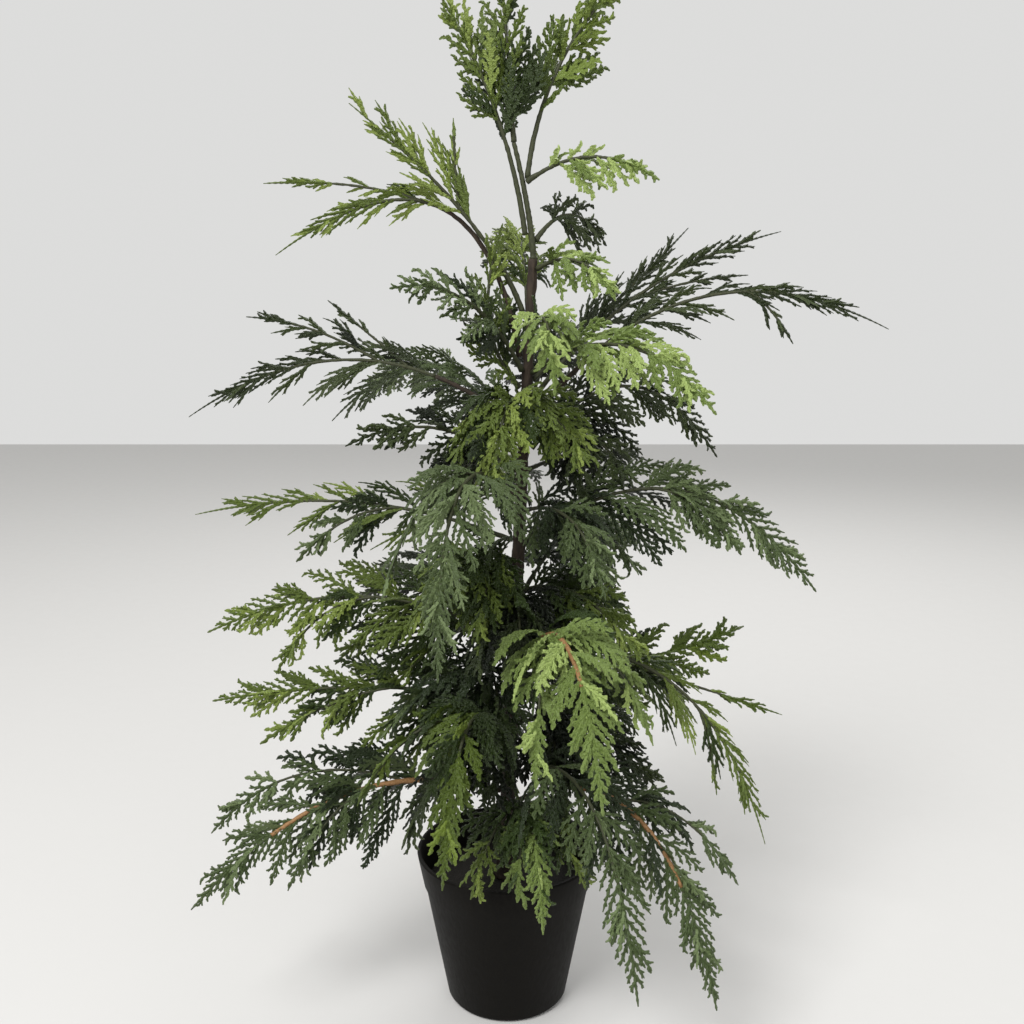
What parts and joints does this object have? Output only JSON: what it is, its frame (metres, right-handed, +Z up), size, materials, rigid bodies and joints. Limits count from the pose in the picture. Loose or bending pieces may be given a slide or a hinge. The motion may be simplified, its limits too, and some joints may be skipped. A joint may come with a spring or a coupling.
{
  "type": "potted artificial northern white cedar",
  "caption": "Artificial northern white cedar in a filled nursery pot: a slim trunk with wire boughs and moulded flat sprays of scale foliage, standing on the pot's flat underside.",
  "frame": {"origin": "centre of the pot's flat underside", "axes": "+Z up along the trunk, -Y towards the front that the picture shows"},
  "size_m": [0.5864, 0.476, 0.8993],
  "materials": {
    "pot_plastic": "matte",
    "fill": "matte",
    "bark": "matte",
    "stem": "satin",
    "cedar_dark": "satin",
    "cedar_blue": "satin",
    "cedar_mid": "satin",
    "cedar_olive": "satin",
    "cedar_light": "satin"
  },
  "bodies": {
    "root": {"bough_bottom_left": "stem", "bough_bottom_right": "stem", "bough_centre_blue": "stem", "bough_front_right": "stem", "bough_left_dark": "stem", "bough_right_long": "stem", "bough_right_low": "stem", "bough_upper_left": "stem", "fill": "fill", "leader": "stem", "mass_back_bottom": "cedar_blue", "mass_back_high": "cedar_mid", "mass_back_left_high": "cedar_blue", "mass_back_left_low": "cedar_dark", "mass_back_middle": "cedar_mid", "mass_back_right_high": "cedar_dark", "mass_back_right_low": "cedar_mid", "mass_back_right_mid": "cedar_blue", "mass_bottom_front": "cedar_blue", "mass_bottom_left": "cedar_blue", "mass_bottom_right": "cedar_blue", "mass_centre_blue": "cedar_blue", "mass_centre_high": "cedar_light", "mass_centre_left": "cedar_mid", "mass_centre_light": "cedar_light", "mass_centre_right": "cedar_blue", "mass_front_bottom": "cedar_light", "mass_front_left": "cedar_olive", "mass_front_right": "cedar_light", "mass_inner_front": "cedar_dark", "mass_inner_high": "cedar_mid", "mass_inner_left": "cedar_blue", "mass_inner_low": "cedar_dark", "mass_inner_middle": "cedar_mid", "mass_inner_right": "cedar_mid", "mass_inner_right_low": "cedar_dark", "mass_leader_comb": "cedar_light", "mass_leader_dark": "cedar_dark", "mass_leader_left": "cedar_mid", "mass_leader_right": "cedar_olive", "mass_leader_top": "cedar_mid", "mass_left_dark": "cedar_dark", "mass_left_low_1": "cedar_mid", "mass_left_low_2": "cedar_mid", "mass_mid_left": "cedar_blue", "mass_mid_left_dark": "cedar_dark", "mass_right_back_dark": "cedar_dark", "mass_right_blue": "cedar_blue", "mass_right_high": "cedar_dark", "mass_right_inner": "cedar_dark", "mass_right_light": "cedar_light", "mass_right_long": "cedar_dark", "mass_right_low": "cedar_mid", "mass_right_low_up": "cedar_olive", "mass_right_mid_dark": "cedar_dark", "mass_upper_left": "cedar_mid", "mass_upper_left_high": "cedar_mid", "mass_upper_left_light": "cedar_blue", "pot": "pot_plastic", "trunk": "bark"}
  },
  "joints": []
}
